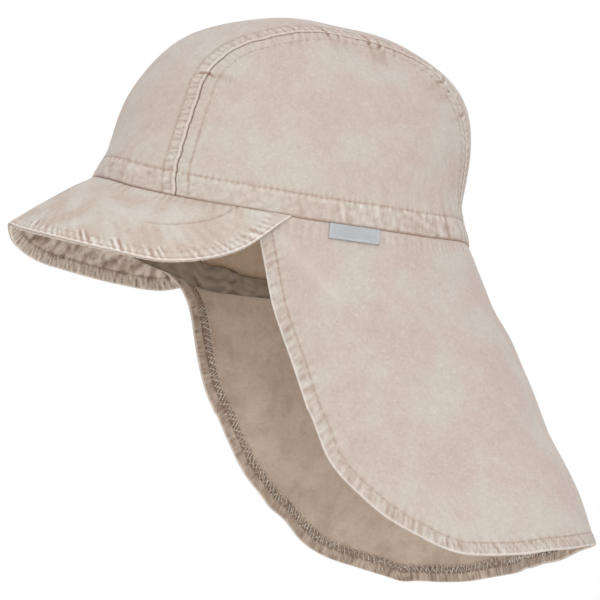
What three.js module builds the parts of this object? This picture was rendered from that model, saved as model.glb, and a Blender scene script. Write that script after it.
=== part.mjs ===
// A child's cotton summer cap with a soft peak in front and a neck flap behind.
// Millimetres, +Z up, -Y to the wearer's front, +X to the wearer's left.
// The origin is the middle of the head opening, 2.6 mm above the rim's front.

import * as THREE from "three";
import { mergeVertices } from "three/addons/utils/BufferGeometryUtils.js";

// The head opening and the dome over it.
const headHalfLength = 92;
const headHalfWidth = 71.1;
const crownTop = 94.6;
const domeFoot = -22;
const domeHeight = crownTop - domeFoot;
const backwardLean = 0.028;

// How square the dome is, seen from above (plan) and along each wall (wall).
const planRoundness = { front: 2.03, back: 2.35 };
const wallRoundness = { front: 2.5, side: 2.42, back: 3.02 };

// Half the width of the centre panel, on its way over the head: 0 is the front, 90 the
// top, 180 the back.
const centrePanelRows = [
  { over: 0, across: 52.3 },
  { over: 20, across: 49.8 },
  { over: 40, across: 46.8 },
  { over: 50, across: 44.6 },
  { over: 60, across: 44.2 },
  { over: 70, across: 45.1 },
  { over: 80, across: 44.4 },
  { over: 90, across: 41.3 },
  { over: 100, across: 39.8 },
  { over: 115, across: 39.1 },
  { over: 125, across: 40.1 },
  { over: 140, across: 37.1 },
  { over: 155, across: 35 },
  { over: 180, across: 34.5 },
];

// Cloth and tape thickness, and the clearance that neighbours keep.
const cloth = 1.2;
const peakCloth = 1.0;
const flapCloth = 1.1;
const tapeCloth = 1.0;
const gap = 0.3;

// How far inside the dome the tape lies.
const tapeInset = 1.9;

// The soft peak runs round the front to this turn at both sides, crowned a little.
const peakEndTurn = -9.7;
const peakCrowning = 1.4;

// The neck flap starts under the peak's ends.
const flapStartTurn = -26;
const flapInset = 0.3;

// The woven tab on the wearer's left.
const tab = { turn: 7.4, width: 24.5, length: 7.4, thickness: 0.7 };

// Turns are degrees round the head: -90 is the front, 0 the side, 90 the back.
// The rim dips at the sides.
const rimRows = [
  { turn: -90, height: -2.6 },
  { turn: -75, height: -7 },
  { turn: -60, height: -13.2 },
  { turn: -45, height: -17.5 },
  { turn: -30, height: -19.9 },
  { turn: -12, height: -20.7 },
  { turn: 0, height: -20 },
  { turn: 30, height: -14 },
  { turn: 60, height: -5.6 },
  { turn: 90, height: -3.4 },
];

// How far the worn cloth stands off the plain dome, as a share of its width there.
const wallRows = [
  { share: 0, front: 0.043, back: 0 },
  { share: 0.16, front: 0.035, back: -0.024 },
  { share: 0.24, front: 0.013, back: -0.068 },
  { share: 0.34, front: -0.005, back: -0.093 },
  { share: 0.6, front: 0.024, back: -0.02 },
  { share: 0.8, front: 0.044, back: 0.046 },
  { share: 0.93, front: 0.028, back: 0.066 },
  { share: 0.975, front: 0.028, back: 0.14 },
  { share: 1, front: 0.028, back: 0.14 },
];

// How far the gathered tape hangs below the rim and stands above it.
const tapeRows = [
  { turn: -90, below: 0.5, above: 11.5 },
  { turn: -35, below: 0.5, above: 11 },
  { turn: -24, below: 0.8, above: 10 },
  { turn: -17, below: 2.8, above: 9 },
  { turn: -9, below: 4.9, above: 8.1 },
  { turn: 0, below: 4.6, above: 6.3 },
  { turn: 12, below: 4.3, above: 5 },
  { turn: 45, below: 3.2, above: 6 },
  { turn: 90, below: 2, above: 7 },
];

// The peak's edge from its middle to its ends on the rim, as [across, forward, height].
// It sags more on the left.
const peakRows = [
  { left: [0, 130, -32.5], right: [0, 130, -32.5] },
  { left: [20, 127.3, -38.4], right: [19, 123, -35.6] },
  { left: [40, 115.2, -44.5], right: [37, 108.6, -36.5] },
  { left: [54, 94.2, -49], right: [52, 88.4, -34.7] },
  { left: [65, 67, -51.4], right: [64, 63.3, -32.9] },
  { left: [72, 38.7, -42.2], right: [71.5, 37.4, -29.8] },
  { left: [73, 15.5, -20.6], right: [73, 15.5, -20.6] },
];

// How far the flap hangs below the rim at each turn.
const flapDropRows = [
  { turn: -26, left: 1.2, right: 1 },
  { turn: -20, left: 3, right: 4.2 },
  { turn: -16, left: 19, right: 9 },
  { turn: -12, left: 40, right: 20 },
  { turn: -8, left: 56, right: 39.5 },
  { turn: -4, left: 71.2, right: 53.8 },
  { turn: 0, left: 90, right: 64 },
  { turn: 4, left: 111.5, right: 76.8 },
  { turn: 10, left: 126.6, right: 92.4 },
  { turn: 20, left: 142, right: 107.3 },
  { turn: 30, left: 151.8, right: 121.9 },
  { turn: 45, left: 145, right: 130.5 },
  { turn: 56, left: 139.4, right: 133 },
  { turn: 66, left: 138, right: 133.4 },
  { turn: 78, left: 140, right: 136 },
  { turn: 90, left: 140, right: 140 },
];

// How the flap flares: its outward slope at the rim, and how that grows per 100 mm.
const flapFlareRows = [
  { turn: -26, left: 0.05, leftCurl: 0.02, right: -0.01, rightCurl: -0.03 },
  { turn: -20, left: 0.05, leftCurl: 0.02, right: -0.01, rightCurl: -0.03 },
  { turn: 17, left: 0.18, leftCurl: 0.06, right: 0.13, rightCurl: 0.07 },
  { turn: 53, left: 0.445, leftCurl: 0.1, right: 0.54, rightCurl: 0.14 },
  { turn: 90, left: 0.72, leftCurl: -0.172, right: 0.72, rightCurl: -0.172 },
];

// How far the flap's hem falls in behind the head.
const hemTuck = 6.5;

// Soft flutes in the flap. They open towards the hem. Positive ones stand out.
const fluteRows = [
  { side: 1, turn: 6, width: 9, depth: 1.6 },
  { side: 1, turn: 33, width: 10, depth: -2.4 },
  { side: 1, turn: 55, width: 9, depth: 1.8 },
  { side: 1, turn: 73, width: 8, depth: -1.4 },
  { side: -1, turn: 12, width: 9, depth: -1.8 },
  { side: -1, turn: 36, width: 9, depth: 2.4 },
  { side: -1, turn: 58, width: 10, depth: -2.6 },
  { side: -1, turn: 76, width: 8, depth: 2.2 },
];

const cottonOutside = new THREE.MeshStandardMaterial({ color: 0xcabcb0, roughness: 0.92 });
const cottonTape = new THREE.MeshStandardMaterial({ color: 0x6f675e, roughness: 0.95 });
const wovenTab = new THREE.MeshStandardMaterial({ color: 0xa9aaab, roughness: 0.8 });
for (const finish of [cottonOutside, cottonTape, wovenTab]) finish.metalness = 0;

const radians = THREE.MathUtils.degToRad;
const mix = THREE.MathUtils.lerp;

function signedPower(value, power) {
  return Math.sign(value) * Math.abs(value) ** power;
}

// A smooth curve through one column of a table. It is level at both ends.
function readRows(rows, by, column, at) {
  const x = Math.min(Math.max(at, rows[0][by]), rows[rows.length - 1][by]);
  let i = 0;
  while (i < rows.length - 2 && x > rows[i + 1][by]) i += 1;
  const slope = (k) => {
    if (k === 0 || k === rows.length - 1) return 0;
    const rise = rows[k + 1][column] - rows[k - 1][column];
    return rise / (rows[k + 1][by] - rows[k - 1][by]);
  };
  const span = rows[i + 1][by] - rows[i][by];
  const t = (x - rows[i][by]) / span;
  const s = 1 - t;
  return rows[i][column] * (1 + 2 * t) * s * s + slope(i) * span * t * s * s
    + rows[i + 1][column] * t * t * (3 - 2 * t) - slope(i + 1) * span * t * t * s;
}

// The value between low and high where test turns from false to true.
function findEdge(low, high, test) {
  for (let step = 0; step < 40; step += 1) {
    const middle = (low + high) / 2;
    if (test(middle)) high = middle;
    else low = middle;
  }
  return (low + high) / 2;
}

// The dome's exponents and stand-off for a direction, from backwards = -1 (front) to 1.
function domeShape(backwards, share) {
  const front = Math.max(-backwards, 0) ** 2;
  const back = Math.max(backwards, 0) ** 2;
  const { side } = wallRoundness;
  return {
    plan: backwards < 0 ? planRoundness.front : planRoundness.back,
    wall: side + (wallRoundness.front - side) * front + (wallRoundness.back - side) * back,
    standOff: 1 + front * readRows(wallRows, "share", "front", share)
      + back * readRows(wallRows, "share", "back", share),
  };
}

// The crown's outer face at an angle round the head and a height.
function wallPoint(angle, height) {
  const share = Math.min(Math.max((height - domeFoot) / domeHeight, 0), 1);
  const shape = domeShape(Math.sin(angle), share);
  const reach = (1 - share ** shape.wall) ** (1 / shape.wall) * shape.standOff;
  return new THREE.Vector3(
    headHalfWidth * signedPower(Math.cos(angle), 2 / shape.plan) * reach,
    headHalfLength * signedPower(Math.sin(angle), 2 / shape.plan) * reach
      + backwardLean * (height - domeFoot),
    height,
  );
}

// The turn that both sides share, from -a quarter turn at the front to a quarter turn
// at the back.
function turnOf(angle) {
  return Math.atan2(Math.sin(angle), Math.abs(Math.cos(angle)));
}

function rimHeight(angle) {
  return readRows(rimRows, "turn", "height", THREE.MathUtils.radToDeg(turnOf(angle)));
}

function rimPoint(angle) {
  return wallPoint(angle, rimHeight(angle));
}

// The level direction that points out of the rim.
function rimOutward(angle) {
  const step = 0.001;
  const tangent = rimPoint(angle + step).sub(rimPoint(angle - step));
  return new THREE.Vector3(tangent.y, -tangent.x, 0).normalize();
}

// The crown's outer face in a plane through the left-right axis at the dome's foot.
// over is that plane's angle: 0 faces forward, a half turn backward.
function overPoint(over, across) {
  const distance = findEdge(0, 300, (reach) => {
    const forward = -reach * Math.cos(over);
    const share = Math.min((reach * Math.sin(over)) / domeHeight, 1);
    const away = Math.hypot(across / headHalfWidth, forward / headHalfLength);
    const shape = domeShape(forward / headHalfLength / Math.max(away, 1e-9), share);
    const plan = Math.abs(across / headHalfWidth) ** shape.plan
      + Math.abs(forward / headHalfLength) ** shape.plan;
    const level = plan ** (1 / shape.plan) / shape.standOff;
    return level ** shape.wall + ((reach * Math.sin(over)) / domeHeight) ** shape.wall > 1;
  });
  const rise = distance * Math.sin(over);
  const lengthwise = -distance * Math.cos(over) + backwardLean * rise;
  return new THREE.Vector3(across, lengthwise, domeFoot + rise);
}

// The angle round the head at which a point of the dome lies.
function angleOf(point) {
  const lengthwise = point.y - backwardLean * (point.z - domeFoot);
  const plan = lengthwise < 0 ? planRoundness.front : planRoundness.back;
  return Math.atan2(
    signedPower(lengthwise / headHalfLength, plan / 2),
    signedPower(point.x / headHalfWidth, plan / 2),
  );
}

function seamAcross(over) {
  return readRows(centrePanelRows, "over", "across", THREE.MathUtils.radToDeg(over));
}

// Where the strip at this share of the centre panel's width starts and ends on the rim.
function stripEnds(share, clearance) {
  const point = (over) => overPoint(over, share * (seamAcross(over) + clearance));
  const aboveRim = (over) => point(over).z > rimHeight(angleOf(point(over)));
  return {
    front: findEdge(0, Math.PI / 2, aboveRim),
    rear: findEdge(Math.PI, Math.PI / 2, aboveRim),
  };
}

// The outward direction of a face(u, v), where side is 1 if u, v and outward are
// right-handed and -1 if they are left-handed.
function outwardOf(face, side) {
  const step = 0.002;
  const inside = (t) => Math.min(Math.max(t, step), 1 - step);
  return (u, v) => {
    const [p, q] = [inside(u), inside(v)];
    const alongU = face(p + step, q).sub(face(p - step, q));
    const alongV = face(p, q + step).sub(face(p, q - step));
    return alongU.cross(alongV).normalize().multiplyScalar(side);
  };
}

// A closed sheet with face(u, v) in front and a second face one thickness behind it.
// A ring closes on itself along u.
function clothMesh(name, finish, { across, down, face, outward, thickness, side, ring = false }) {
  const positions = [];
  for (let i = 0; i <= across; i += 1) {
    for (let j = 0; j <= down; j += 1) {
      const [u, v] = [i / across, j / down];
      const front = face(u, v);
      const behind = front.clone().addScaledVector(outward(u, v), -thickness);
      positions.push(...front.toArray(), ...behind.toArray());
    }
  }
  const at = (i, j, layer) => ((ring ? i % across : i) * (down + 1) + j) * 2 + layer;
  const triangles = [];
  const quad = (a, b, c, d) => {
    if (side > 0) triangles.push(a, b, c, a, c, d);
    else triangles.push(a, c, b, a, d, c);
  };
  for (let i = 0; i < across; i += 1) {
    for (let j = 0; j < down; j += 1) {
      quad(at(i, j, 0), at(i + 1, j, 0), at(i + 1, j + 1, 0), at(i, j + 1, 0));
      quad(at(i, j, 1), at(i, j + 1, 1), at(i + 1, j + 1, 1), at(i + 1, j, 1));
    }
    quad(at(i, 0, 1), at(i + 1, 0, 1), at(i + 1, 0, 0), at(i, 0, 0));
    quad(at(i, down, 0), at(i + 1, down, 0), at(i + 1, down, 1), at(i, down, 1));
  }
  for (let j = 0; j < down && !ring; j += 1) {
    quad(at(0, j, 0), at(0, j + 1, 0), at(0, j + 1, 1), at(0, j, 1));
    quad(at(across, j, 1), at(across, j + 1, 1), at(across, j + 1, 0), at(across, j, 0));
  }
  const mesh = new THREE.Mesh(closedGeometry(positions, triangles), finish);
  mesh.name = name;
  return mesh;
}

// Points that fall together are joined, and triangles that this flattens are left out.
function closedGeometry(positions, triangles) {
  const loose = new THREE.BufferGeometry();
  loose.setAttribute("position", new THREE.Float32BufferAttribute(positions, 3));
  loose.setIndex(triangles);
  const joined = mergeVertices(loose, 0.01);
  const index = joined.getIndex().array;
  const kept = [];
  for (let i = 0; i < index.length; i += 3) {
    const [a, b, c] = index.slice(i, i + 3);
    if (a !== b && b !== c && c !== a) kept.push(a, b, c);
  }
  joined.setIndex(kept);
  joined.computeVertexNormals();
  return joined;
}

// The strip from the peak over the top to the back.
function makeCentrePanel() {
  const ends = new Map();
  const face = (u, v) => {
    const share = mix(-1, 1, v);
    if (!ends.has(share)) ends.set(share, stripEnds(share, -gap / 2));
    const { front, rear } = ends.get(share);
    const over = mix(front, rear, u);
    return overPoint(over, share * (seamAcross(over) - gap / 2));
  };
  const side = -1;
  return clothMesh("crown_centre_panel", cottonOutside, {
    across: 30, down: 12, face, outward: outwardOf(face, side), thickness: cloth, side,
  });
}

// A D-shaped side panel, between the rim and the seam. Its columns run from the rim up
// to the seam and shrink to nothing at the seam's two feet.
function makeSidePanel(name, wearerSide) {
  const feet = stripEnds(1, gap / 2);
  const seamPoint = (over) => overPoint(over, seamAcross(over) + gap / 2);
  const footAngle = { front: angleOf(seamPoint(feet.front)), rear: angleOf(seamPoint(feet.rear)) };
  const place = (u, v) => {
    const rimAngle = mix(footAngle.front, footAngle.rear, u);
    const seam = seamPoint(mix(feet.front, feet.rear, u));
    const angle = mix(rimAngle, angleOf(seam), v);
    return { angle, height: mix(rimHeight(rimAngle), seam.z, v) };
  };
  const turned = (point) => point.setX(point.x * wearerSide);
  const face = (u, v) => {
    const { angle, height } = place(u, v);
    return turned(wallPoint(angle, height));
  };
  const outward = (u, v) => {
    const { angle, height } = place(u, v);
    const step = 0.01;
    const round = wallPoint(angle + step, height).sub(wallPoint(angle - step, height));
    const up = wallPoint(angle, height + step).sub(wallPoint(angle, height - step));
    return turned(round.cross(up).normalize());
  };
  return clothMesh(name, cottonOutside, {
    across: 32, down: 9, face, outward, thickness: cloth, side: wearerSide,
  });
}

// The tape inside the rim.
function makeSweatband() {
  const face = (u, v) => {
    const angle = mix(-Math.PI, Math.PI, u);
    const turn = THREE.MathUtils.radToDeg(turnOf(angle));
    const below = readRows(tapeRows, "turn", "below", turn);
    const above = readRows(tapeRows, "turn", "above", turn);
    const height = rimHeight(angle) + mix(-below, above, v);
    return wallPoint(angle, height).addScaledVector(rimOutward(angle), -tapeInset);
  };
  const outward = (u) => rimOutward(mix(-Math.PI, Math.PI, u));
  return clothMesh("sweatband", cottonTape, {
    across: 64, down: 2, face, outward, thickness: tapeCloth, side: 1, ring: true,
  });
}

// The peak's upper face, from its right end (u = 0) round to its left end (u = 1),
// and from the rim (v = 0) out to the edge (v = 1).
const peakEdge = new THREE.CatmullRomCurve3([
  ...peakRows.slice(1).reverse().map(({ right: [across, forward, height] }) => (
    new THREE.Vector3(-across, -forward, height))),
  ...peakRows.map(({ left: [across, forward, height] }) => (
    new THREE.Vector3(across, -forward, height))),
], false, "catmullrom");

function peakFace(u, v) {
  const aside = mix(-1, 1, u);
  const angle = mix(-Math.PI / 2, radians(peakEndTurn), Math.abs(aside));
  const stacked = THREE.MathUtils.smoothstep(Math.abs(aside), 0.35, 0.79);
  const root = rimPoint(angle)
    .addScaledVector(rimOutward(angle), mix(0, 2 * peakCloth + 2 * gap, stacked));
  root.z -= gap;
  root.x *= Math.sign(aside) || 1;
  const edge = peakEdge.getPoint(u);
  const point = root.lerp(edge, v);
  point.z += peakCrowning * Math.sin(Math.PI * v) * (1 - stacked);
  return point;
}

function makePeakLayer(name, depth) {
  const upward = outwardOf(peakFace, -1);
  const outward = (u, v) => {
    const atEnd = u === 0 || u === 1;
    if (!atEnd) return upward(u, v);
    const out = rimOutward(radians(peakEndTurn));
    return out.setX(out.x * (u === 0 ? -1 : 1));
  };
  const face = (u, v) => peakFace(u, v).addScaledVector(outward(u, v), -depth);
  return clothMesh(name, cottonOutside, {
    across: 36, down: 5, face, outward, thickness: peakCloth, side: -1,
  });
}

// The flap's outer face, from its right front end (u = 0) round the back to its left
// front end (u = 1), and from the rim (v = 0) down to the hem (v = 1).
function flapFace(u, v) {
  const side = u < 0.5 ? -1 : 1;
  const name = side > 0 ? "left" : "right";
  const turn = mix(90, flapStartTurn, Math.abs(mix(-1, 1, u)));
  const drop = v * readRows(flapDropRows, "turn", name, turn);
  const slope = readRows(flapFlareRows, "turn", name, turn);
  const curl = readRows(flapFlareRows, "turn", `${name}Curl`, turn);
  let out = drop * (slope + (curl * drop) / 100) - flapInset;
  for (const flute of fluteRows) {
    const away = (turn - flute.turn) / flute.width;
    if (flute.side === side) out += flute.depth * Math.exp(-away * away) * (drop / 100) ** 1.5;
  }
  out -= hemTuck * THREE.MathUtils.smoothstep(turn, 25, 60) * Math.max((v - 0.7) / 0.3, 0) ** 2;
  const angle = radians(turn);
  const point = rimPoint(angle).addScaledVector(rimOutward(angle), out);
  return point.set(point.x * side, point.y, point.z - gap - drop);
}

function makeNeckFlap() {
  const side = 1;
  return clothMesh("neck_flap", cottonOutside, {
    across: 56, down: 12, face: flapFace, outward: outwardOf(flapFace, side), thickness: flapCloth, side,
  });
}

// The bare woven tab, sewn in at the rim outside the flap.
function makeSideLabel() {
  const middle = radians(tab.turn);
  const reach = radians(6);
  const rimPerTurn = rimPoint(middle + reach).distanceTo(rimPoint(middle - reach)) / (2 * reach);
  const halfTurn = tab.width / 2 / rimPerTurn;
  const shareOf = (turn) => (1 + (90 - turn) / (90 - flapStartTurn)) / 2;
  const face = (u, v) => {
    const turn = THREE.MathUtils.radToDeg(mix(middle - halfTurn, middle + halfTurn, 1 - u));
    const share = shareOf(turn);
    const drop = readRows(flapDropRows, "turn", "left", turn);
    const onFlap = flapFace(share, (v * tab.length) / drop);
    return onFlap.addScaledVector(rimOutward(radians(turn)), gap + tab.thickness);
  };
  const outward = (u) => rimOutward(mix(middle - halfTurn, middle + halfTurn, 1 - u));
  return clothMesh("side_label", wovenTab, {
    across: 6, down: 2, face, outward, thickness: tab.thickness, side: 1,
  });
}

const cap = new THREE.Group();
cap.add(
  makeCentrePanel(),
  makeSidePanel("crown_left_panel", 1),
  makeSidePanel("crown_right_panel", -1),
  makeSweatband(),
  makePeakLayer("peak_top", 0),
  makePeakLayer("peak_under", peakCloth + gap),
  makeNeckFlap(),
  makeSideLabel(),
);

export default cap;
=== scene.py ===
import math

import bmesh
import bpy
import numpy as np
from mathutils import Matrix, Vector, kdtree


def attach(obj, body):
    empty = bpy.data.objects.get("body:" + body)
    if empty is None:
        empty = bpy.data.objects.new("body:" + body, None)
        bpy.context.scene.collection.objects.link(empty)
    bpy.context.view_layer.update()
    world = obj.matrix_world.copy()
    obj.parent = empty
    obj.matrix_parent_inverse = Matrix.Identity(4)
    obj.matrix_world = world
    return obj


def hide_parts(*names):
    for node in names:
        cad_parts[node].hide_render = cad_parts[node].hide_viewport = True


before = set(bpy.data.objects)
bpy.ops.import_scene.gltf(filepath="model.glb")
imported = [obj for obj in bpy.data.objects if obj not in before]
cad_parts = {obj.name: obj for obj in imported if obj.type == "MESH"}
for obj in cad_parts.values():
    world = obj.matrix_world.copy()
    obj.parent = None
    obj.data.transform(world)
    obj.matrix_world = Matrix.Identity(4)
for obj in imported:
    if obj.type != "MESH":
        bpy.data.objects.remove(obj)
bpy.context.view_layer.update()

# A child's cotton summer cap: soft peak in front, neck flap behind.
# Shapes are worked out in millimetres and turned to metres when a mesh is made.
mm = 0.001

# How many points the paths are sampled at, and how often a search halves its range.
samples = {"path": 1201, "column": 61, "seam": 1500, "strips": 41, "rim": 2401, "peak": 1500,
           "hem": 3600, "flapRoot": 2000}
halvings = {"reach": 40, "foot": 36}
# The search for the crown's face looks this far out.
farOut = 300.0
# Points closer than this are one point, and shorter edges are dropped.
weldReach, shortEdge = 0.004, 0.002
# A turned edge is rounded over this share of the cloth's thickness.
edgeShare = 0.45

# The dome over the head. It is the frame's own shape.
dome = {
    "halfLength": 92, "halfWidth": 71.1, "foot": -22, "top": 94.6, "lean": 0.028,
    "planFront": 2.03, "planBack": 2.35,
    "wallFront": 2.5, "wallSide": 2.42, "wallBack": 3.02,
}
domeHeight = dome["top"] - dome["foot"]

# How far the worn cloth stands off the plain dome, as a share of its width there.
wallTable = {
    "share": [0, 0.16, 0.24, 0.34, 0.6, 0.8, 0.93, 0.975, 1],
    "front": [0.043, 0.035, 0.013, -0.005, 0.024, 0.044, 0.028, 0.028, 0.028],
    "back": [0, -0.024, -0.068, -0.093, -0.02, 0.046, 0.066, 0.14, 0.14],
}

# The rim's height: -90 is the front, 0 the side, 90 the back.
rimTable = {
    "turn": [-90, -75, -60, -45, -30, -12, 0, 30, 60, 90],
    "height": [-2.6, -7, -13.2, -17.5, -19.9, -20.7, -20, -14, -5.6, -3.4],
}

# Half the centre panel's width on its way over the head, from the front (0) to the back (180).
seamTable = {
    "over": [0, 20, 40, 50, 60, 70, 80, 90, 100, 115, 125, 140, 155, 180],
    "across": [52.3, 49.8, 46.8, 44.6, 44.2, 45.1, 44.4, 41.3, 39.8, 39.1, 40.1, 37.1, 35, 34.5],
}


def readTable(table, by, column, at):
    # a smooth curve through one column, level at both ends
    x, y = np.array(table[by], float), np.array(table[column], float)
    slope = np.zeros(len(x))
    slope[1:-1] = (y[2:] - y[:-2]) / (x[2:] - x[:-2])
    at = np.clip(at, x[0], x[-1])
    i = np.clip(np.searchsorted(x, at, side="right") - 1, 0, len(x) - 2)
    span = x[i + 1] - x[i]
    t = (at - x[i]) / span
    s = 1 - t
    return (y[i] * (1 + 2 * t) * s**2 + slope[i] * span * t * s**2
            + y[i + 1] * t**2 * (3 - 2 * t) - slope[i + 1] * span * t**2 * s)


def mix(a, b, t):
    return a + (b - a) * t


def smoothStep(x, low, high):
    t = np.clip((x - low) / (high - low), 0, 1)
    return t * t * (3 - 2 * t)


def signedPower(value, power):
    return np.sign(value) * np.abs(value) ** power


def unit(vectors):
    return vectors / np.maximum(np.linalg.norm(vectors, axis=-1, keepdims=True), 1e-12)


def domeShape(backwards, share):
    front, back = np.clip(-backwards, 0, 1) ** 2, np.clip(backwards, 0, 1) ** 2
    plan = np.where(backwards < 0, dome["planFront"], dome["planBack"])
    wall = (dome["wallSide"] + (dome["wallFront"] - dome["wallSide"]) * front
            + (dome["wallBack"] - dome["wallSide"]) * back)
    standOff = (1 + front * readTable(wallTable, "share", "front", share)
                + back * readTable(wallTable, "share", "back", share))
    return plan, wall, standOff


def wallPoint(angle, height):
    share = np.clip((height - dome["foot"]) / domeHeight, 0, 1)
    plan, wall, standOff = domeShape(np.sin(angle), share)
    reach = (1 - share**wall) ** (1 / wall) * standOff
    return np.stack([
        dome["halfWidth"] * signedPower(np.cos(angle), 2 / plan) * reach,
        dome["halfLength"] * signedPower(np.sin(angle), 2 / plan) * reach
        + dome["lean"] * (height - dome["foot"]),
        height + 0 * reach], -1)


def turnOf(angle):
    # degrees that both sides share, from -90 at the front to 90 at the back
    return np.degrees(np.arctan2(np.sin(angle), np.abs(np.cos(angle))))


def rimHeight(angle):
    return readTable(rimTable, "turn", "height", turnOf(angle))


def rimPoint(angle):
    return wallPoint(angle, rimHeight(angle))


def rimOutward(angle):
    step = 0.001
    tangent = rimPoint(angle + step) - rimPoint(angle - step)
    level = np.stack([tangent[..., 1], -tangent[..., 0], 0 * tangent[..., 0]], -1)
    return unit(level)


def overPoint(over, across):
    # the crown's face in a plane through the left-right axis at the dome's foot
    over, across = np.broadcast_arrays(np.asarray(over, float), np.asarray(across, float))
    low, high = np.zeros(over.shape), np.full(over.shape, farOut)
    for _ in range(halvings["reach"]):
        reach = (low + high) / 2
        forward, rise = -reach * np.cos(over), reach * np.sin(over)
        away = np.hypot(across / dome["halfWidth"], forward / dome["halfLength"])
        backwards = forward / dome["halfLength"] / np.maximum(away, 1e-9)
        plan, wall, standOff = domeShape(backwards, np.minimum(rise / domeHeight, 1))
        level = (np.abs(across / dome["halfWidth"]) ** plan
                 + np.abs(forward / dome["halfLength"]) ** plan) ** (1 / plan) / standOff
        outside = level**wall + (rise / domeHeight) ** wall > 1
        high = np.where(outside, reach, high)
        low = np.where(outside, low, reach)
    rise = reach * np.sin(over)
    return np.stack([across, -reach * np.cos(over) + dome["lean"] * rise, dome["foot"] + rise], -1)


def angleOf(point):
    lengthwise = point[..., 1] - dome["lean"] * (point[..., 2] - dome["foot"])
    plan = np.where(lengthwise < 0, dome["planFront"], dome["planBack"])
    return np.arctan2(signedPower(lengthwise / dome["halfLength"], plan / 2),
                      signedPower(point[..., 0] / dome["halfWidth"], plan / 2))


def seamAcross(over):
    # the sewn line wanders a few tenths of a millimetre
    turn = np.degrees(over)
    wander = 0.1 * np.sin(0.93 * turn + 1) + 0.12 * np.sin(0.37 * turn) + 0.05 * np.sin(2.3 * turn)
    return readTable(seamTable, "over", "across", turn) + wander


def stripEnds(share, clearance):
    # where the strip at this share of the centre panel's width starts and ends on the rim
    share = np.asarray(share, float)
    ends = []
    for away, near in ((0.0, math.pi / 2), (math.pi, math.pi / 2)):
        low, high = np.full(share.shape, away), np.full(share.shape, near)
        for _ in range(halvings["foot"]):
            over = (low + high) / 2
            point = overPoint(over, share * (seamAcross(over) + clearance))
            above = point[..., 2] > rimHeight(angleOf(point))
            high = np.where(above, over, high)
            low = np.where(above, low, over)
        ends.append((low + high) / 2)
    return ends


def arcOf(points, axis):
    # the way along a grid of points, from 0
    steps = np.linalg.norm(np.diff(points, axis=axis), axis=-1)
    start = np.zeros_like(np.take(steps, [0], axis))
    return np.concatenate([start, np.cumsum(steps, axis)], axis)


def evenly(path, pitch):
    # shares from 0 to 1 at which the path's points lie one pitch apart
    shares = np.linspace(0, 1, samples["path"])
    arc = arcOf(path(shares), 0)
    count = max(int(round(arc[-1] / pitch)), 2)
    return np.interp(np.linspace(0, arc[-1], count + 1), arc, shares)


def layRows(column, fromStart, fromEnd, between):
    # shares for each column, at real distances from both ends and evenly between them
    shares = np.linspace(0, 1, samples["column"])
    arc = arcOf(np.stack([column(share) for share in shares], 1), 1)
    total = arc[:, -1:]
    start, end = np.array(fromStart, float), np.array(fromEnd, float)[::-1]
    shrink = np.minimum(1, 0.9 * total / (start[-1] + end[0]))
    low, high = start[-1] * shrink, total - end[0] * shrink
    middle = mix(low, high, np.linspace(0, 1, between + 2)[1:-1])
    rows = np.concatenate([start * shrink, middle, total - end * shrink], 1)
    return np.stack([np.interp(row, way, shares) for row, way in zip(rows, arc)])


def gridNormals(points, side, ring=False):
    alongU = np.roll(points, -1, 0) - np.roll(points, 1, 0) if ring else np.gradient(points, axis=0)
    return unit(np.cross(alongU, np.gradient(points, axis=1))) * side


def nearest(points, path):
    # how far each point is from a path, and how far along the path that is
    arc = arcOf(path, 0)
    tangent = unit(np.gradient(path, axis=0))
    tree = kdtree.KDTree(len(path))
    for i, point in enumerate(path):
        tree.insert(point, i)
    tree.balance()
    index = np.array([tree.find(point)[1] for point in points.reshape(-1, 3)]).reshape(points.shape[:-1])
    offset = points - path[index]
    step = (offset * tangent[index]).sum(-1)
    away = np.sqrt(np.maximum((offset**2).sum(-1) - step**2, 0))
    beyond = (index == 0) | (index == len(path) - 1)
    away = np.where(beyond, np.linalg.norm(offset, axis=-1), away)
    return away, arc[index] + np.where(beyond, 0, step)


def folds(points, length, seed, count=14):
    # smooth random waves of about this length, from about -1 to 1
    random = np.random.default_rng(seed)
    total = 0
    for _ in range(count):
        direction = unit(random.normal(size=3)) * 2 * math.pi / (length * random.uniform(0.7, 1.5))
        total = total + np.cos(points @ direction + random.uniform(0, 2 * math.pi))
    return total / math.sqrt(count)


def gathers(along, pitch, seed):
    # waves along a seam that wander in spacing and in height
    random = np.random.default_rng(seed)
    drift, height = 0, 0.7
    for k in range(5):
        length = pitch * random.uniform(3, 14)
        drift = drift + 0.8 * np.sin(2 * math.pi * along / length + random.uniform(0, 6))
        height = height + 0.14 * np.sin(2 * math.pi * along / length * 1.7 + random.uniform(0, 6))
    return height * np.cos(2 * math.pi * along / pitch + drift)


def dip(distance, at, width):
    return np.exp(-(((distance - at) / width) ** 2))


def edgeRound(distance, radius):
    # how far a rounded edge falls away from the face
    inside = np.clip(radius - distance, 0, radius)
    return radius - np.sqrt(radius**2 - inside**2)


def place(name, data):
    # an object in the scene that shows this mesh, lamp or camera
    made = bpy.data.objects.new(name, data)
    bpy.context.scene.collection.objects.link(made)
    return made


def finishMesh(mesh, name, materials):
    body = bmesh.new()
    body.from_mesh(mesh)
    bmesh.ops.remove_doubles(body, verts=body.verts, dist=weldReach * mm)
    bmesh.ops.dissolve_degenerate(body, edges=body.edges, dist=shortEdge * mm)
    body.to_mesh(mesh)
    body.free()
    for polygon in mesh.polygons:
        polygon.use_smooth = True
    for material in materials:
        mesh.materials.append(material)
    return place(name, mesh)


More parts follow.
